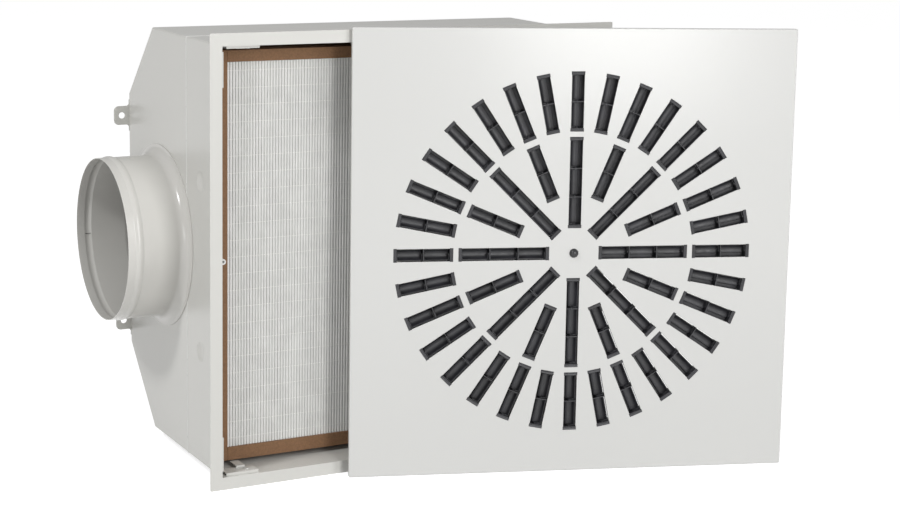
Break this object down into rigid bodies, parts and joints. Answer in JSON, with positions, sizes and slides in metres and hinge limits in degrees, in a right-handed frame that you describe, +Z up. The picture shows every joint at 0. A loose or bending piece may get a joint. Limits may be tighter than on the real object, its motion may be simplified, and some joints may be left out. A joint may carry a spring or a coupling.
{
  "type": "terminal filter housing",
  "caption": "Terminal HEPA filter housing with side duct collar, clamped filter cell, and a square swirl face plate with turning blades, taken off and leaning in front",
  "frame": {"origin": "middle of the front opening, in the front face of the flange", "axes": "X right along the flange, Y back into the housing, Z up"},
  "size_m": [0.8365, 0.5731, 0.604],
  "materials": {
    "coated_steel": "satin",
    "collar_steel": "satin",
    "white_enamel": "satin",
    "zinc_steel": "satin",
    "fibre_board": "matte",
    "filter_paper": "matte",
    "gasket_foam": "matte",
    "glue_thread": "satin",
    "black_plastic": "satin",
    "dark_plastic": "gloss",
    "pale_plastic": "gloss"
  },
  "bodies": {
    "housing": {"front_section": "coated_steel", "rear_hood": "coated_steel", "duct_spigot": "collar_steel", "filter_seat": "coated_steel", "suspension_lug_1": "coated_steel", "suspension_lug_2": "coated_steel", "suspension_lug_3": "coated_steel", "suspension_lug_4": "coated_steel", "filter_frame": "fibre_board", "filter_media": "filter_paper", "filter_gasket": "gasket_foam", "separator_threads": "glue_thread", "corner_clamp_1": "coated_steel", "corner_clamp_2": "coated_steel", "corner_clamp_3": "coated_steel", "corner_clamp_4": "coated_steel", "clamp_screws": "zinc_steel", "traverse_bar": "zinc_steel", "traverse_nut": "zinc_steel", "traverse_screws": "zinc_steel", "test_port": "pale_plastic", "test_tube": "pale_plastic"},
    "face_panel": {"face_plate": "white_enamel", "centre_screw": "zinc_steel", "screw_cap": "dark_plastic", "outer_slot_inserts": "black_plastic", "inner_slot_inserts": "black_plastic"},
    "blade_line_01": {"blades_01": "black_plastic"},
    "blade_line_02": {"blades_02": "black_plastic"},
    "blade_line_03": {"blades_03": "black_plastic"},
    "blade_line_04": {"blades_04": "black_plastic"},
    "blade_line_05": {"blades_05": "black_plastic"},
    "blade_line_06": {"blades_06": "black_plastic"},
    "blade_line_07": {"blades_07": "black_plastic"},
    "blade_line_08": {"blades_08": "black_plastic"},
    "blade_line_09": {"blades_09": "black_plastic"},
    "blade_line_10": {"blades_10": "black_plastic"},
    "blade_line_11": {"blades_11": "black_plastic"},
    "blade_line_12": {"blades_12": "black_plastic"},
    "blade_line_13": {"blades_13": "black_plastic"},
    "blade_line_14": {"blades_14": "black_plastic"},
    "blade_line_15": {"blades_15": "black_plastic"},
    "blade_line_16": {"blades_16": "black_plastic"},
    "blade_line_17": {"blades_17": "black_plastic"},
    "blade_line_18": {"blades_18": "black_plastic"},
    "blade_line_19": {"blades_19": "black_plastic"},
    "blade_line_20": {"blades_20": "black_plastic"},
    "blade_line_21": {"blades_21": "black_plastic"},
    "blade_line_22": {"blades_22": "black_plastic"},
    "blade_line_23": {"blades_23": "black_plastic"},
    "blade_line_24": {"blades_24": "black_plastic"},
    "blade_line_25": {"blades_25": "black_plastic"},
    "blade_line_26": {"blades_26": "black_plastic"},
    "blade_line_27": {"blades_27": "black_plastic"},
    "blade_line_28": {"blades_28": "black_plastic"},
    "blade_line_29": {"blades_29": "black_plastic"},
    "blade_line_30": {"blades_30": "black_plastic"},
    "blade_line_31": {"blades_31": "black_plastic"},
    "blade_line_32": {"blades_32": "black_plastic"}
  },
  "joints": [
    {"name": "face_plate_lift", "type": "slide", "parent": "housing", "child": "face_panel", "axis": [-0.3213, -0.9466, 0.0244], "range_m": [0, 0.35]},
    {"name": "blade_turn_01", "type": "hinge", "parent": "face_panel", "child": "blade_line_01", "pos_m": [0.3721, -0.17547, 0.00204], "axis": [-0.9469, 0.3214, 0], "range_deg": [-18, 71]},
    {"name": "blade_turn_02", "type": "hinge", "parent": "face_panel", "child": "blade_line_02", "pos_m": [0.36868, -0.17328, 0.04202], "axis": [-0.9303, 0.3108, -0.195], "range_deg": [-18, 71]},
    {"name": "blade_turn_03", "type": "hinge", "parent": "face_panel", "child": "blade_line_03", "pos_m": [0.35794, -0.16864, 0.08047], "axis": [-0.8779, 0.2881, -0.3826], "range_deg": [-18, 71]},
    {"name": "blade_turn_04", "type": "hinge", "parent": "face_panel", "child": "blade_line_04", "pos_m": [0.34028, -0.16173, 0.1159], "axis": [-0.7917, 0.2544, -0.5554], "range_deg": [-18, 71]},
    {"name": "blade_turn_05", "type": "hinge", "parent": "face_panel", "child": "blade_line_05", "pos_m": [0.31638, -0.15282, 0.14696], "axis": [-0.6751, 0.2109, -0.7069], "range_deg": [-18, 71]},
    {"name": "blade_turn_06", "type": "hinge", "parent": "face_panel", "child": "blade_line_06", "pos_m": [0.28716, -0.14224, 0.17244], "axis": [-0.5326, 0.1593, -0.8312], "range_deg": [-18, 71]},
    {"name": "blade_turn_07", "type": "hinge", "parent": "face_panel", "child": "blade_line_07", "pos_m": [0.25375, -0.13041, 0.19138], "axis": [-0.3696, 0.1016, -0.9236], "range_deg": [-18, 71]},
    {"name": "blade_turn_08", "type": "hinge", "parent": "face_panel", "child": "blade_line_08", "pos_m": [0.21743, -0.11778, 0.20304], "axis": [-0.1924, 0.04, -0.9805], "range_deg": [-18, 71]},
    {"name": "blade_turn_09", "type": "hinge", "parent": "face_panel", "child": "blade_line_09", "pos_m": [0.17959, -0.10483, 0.20698], "axis": [-0.0079, -0.0231, -0.9997], "range_deg": [-18, 71]},
    {"name": "blade_turn_10", "type": "hinge", "parent": "face_panel", "child": "blade_line_10", "pos_m": [0.14169, -0.09207, 0.20304], "axis": [0.177, -0.0854, -0.9805], "range_deg": [-18, 71]},
    {"name": "blade_turn_11", "type": "hinge", "parent": "face_panel", "child": "blade_line_11", "pos_m": [0.10518, -0.07998, 0.19138], "axis": [0.3551, -0.1444, -0.9236], "range_deg": [-18, 71]},
    {"name": "blade_turn_12", "type": "hinge", "parent": "face_panel", "child": "blade_line_12", "pos_m": [0.07147, -0.06902, 0.17244], "axis": [0.5196, -0.1978, -0.8312], "range_deg": [-18, 71]},
    {"name": "blade_turn_13", "type": "hinge", "parent": "face_panel", "child": "blade_line_13", "pos_m": [0.04185, -0.05962, 0.14696], "axis": [0.664, -0.2437, -0.7069], "range_deg": [-18, 71]},
    {"name": "blade_turn_14", "type": "hinge", "parent": "face_panel", "child": "blade_line_14", "pos_m": [0.01747, -0.05215, 0.1159], "axis": [0.783, -0.2801, -0.5554], "range_deg": [-18, 71]},
    {"name": "blade_turn_15", "type": "hinge", "parent": "face_panel", "child": "blade_line_15", "pos_m": [-0.00075, -0.04688, 0.08047], "axis": [0.8718, -0.3058, -0.3826], "range_deg": [-18, 71]},
    {"name": "blade_turn_16", "type": "hinge", "parent": "face_panel", "child": "blade_line_16", "pos_m": [-0.0121, -0.04402, 0.04202], "axis": [0.9272, -0.3198, -0.195], "range_deg": [-18, 71]},
    {"name": "blade_turn_17", "type": "hinge", "parent": "face_panel", "child": "blade_line_17", "pos_m": [-0.01614, -0.04368, 0.00204], "axis": [0.9469, -0.3214, 0], "range_deg": [-18, 71]},
    {"name": "blade_turn_18", "type": "hinge", "parent": "face_panel", "child": "blade_line_18", "pos_m": [-0.01273, -0.04587, -0.03794], "axis": [0.9303, -0.3108, 0.195], "range_deg": [-18, 71]},
    {"name": "blade_turn_19", "type": "hinge", "parent": "face_panel", "child": "blade_line_19", "pos_m": [-0.00198, -0.05051, -0.07638], "axis": [0.8779, -0.2881, 0.3826], "range_deg": [-18, 71]},
    {"name": "blade_turn_20", "type": "hinge", "parent": "face_panel", "child": "blade_line_20", "pos_m": [0.01568, -0.05742, -0.11182], "axis": [0.7917, -0.2544, 0.5554], "range_deg": [-18, 71]},
    {"name": "blade_turn_21", "type": "hinge", "parent": "face_panel", "child": "blade_line_21", "pos_m": [0.03958, -0.06633, -0.14287], "axis": [0.6751, -0.2109, 0.7069], "range_deg": [-18, 71]},
    {"name": "blade_turn_22", "type": "hinge", "parent": "face_panel", "child": "blade_line_22", "pos_m": [0.06879, -0.07691, -0.16836], "axis": [0.5326, -0.1593, 0.8312], "range_deg": [-18, 71]},
    {"name": "blade_turn_23", "type": "hinge", "parent": "face_panel", "child": "blade_line_23", "pos_m": [0.1022, -0.08874, -0.1873], "axis": [0.3696, -0.1016, 0.9236], "range_deg": [-18, 71]},
    {"name": "blade_turn_24", "type": "hinge", "parent": "face_panel", "child": "blade_line_24", "pos_m": [0.13853, -0.10137, -0.19896], "axis": [0.1924, -0.04, 0.9805], "range_deg": [-18, 71]},
    {"name": "blade_turn_25", "type": "hinge", "parent": "face_panel", "child": "blade_line_25", "pos_m": [0.17637, -0.11432, -0.2029], "axis": [0.0079, 0.0231, 0.9997], "range_deg": [-18, 71]},
    {"name": "blade_turn_26", "type": "hinge", "parent": "face_panel", "child": "blade_line_26", "pos_m": [0.21427, -0.12708, -0.19896], "axis": [-0.177, 0.0854, 0.9805], "range_deg": [-18, 71]},
    {"name": "blade_turn_27", "type": "hinge", "parent": "face_panel", "child": "blade_line_27", "pos_m": [0.25078, -0.13917, -0.1873], "axis": [-0.3551, 0.1444, 0.9236], "range_deg": [-18, 71]},
    {"name": "blade_turn_28", "type": "hinge", "parent": "face_panel", "child": "blade_line_28", "pos_m": [0.28449, -0.15013, -0.16836], "axis": [-0.5196, 0.1978, 0.8312], "range_deg": [-18, 71]},
    {"name": "blade_turn_29", "type": "hinge", "parent": "face_panel", "child": "blade_line_29", "pos_m": [0.3141, -0.15952, -0.14287], "axis": [-0.664, 0.2437, 0.7069], "range_deg": [-18, 71]},
    {"name": "blade_turn_30", "type": "hinge", "parent": "face_panel", "child": "blade_line_30", "pos_m": [0.33849, -0.167, -0.11182], "axis": [-0.783, 0.2801, 0.5554], "range_deg": [-18, 71]},
    {"name": "blade_turn_31", "type": "hinge", "parent": "face_panel", "child": "blade_line_31", "pos_m": [0.35671, -0.17227, -0.07638], "axis": [-0.8718, 0.3058, 0.3826], "range_deg": [-18, 71]},
    {"name": "blade_turn_32", "type": "hinge", "parent": "face_panel", "child": "blade_line_32", "pos_m": [0.36806, -0.17513, -0.03794], "axis": [-0.9272, 0.3198, 0.195], "range_deg": [-18, 71]}
  ]
}
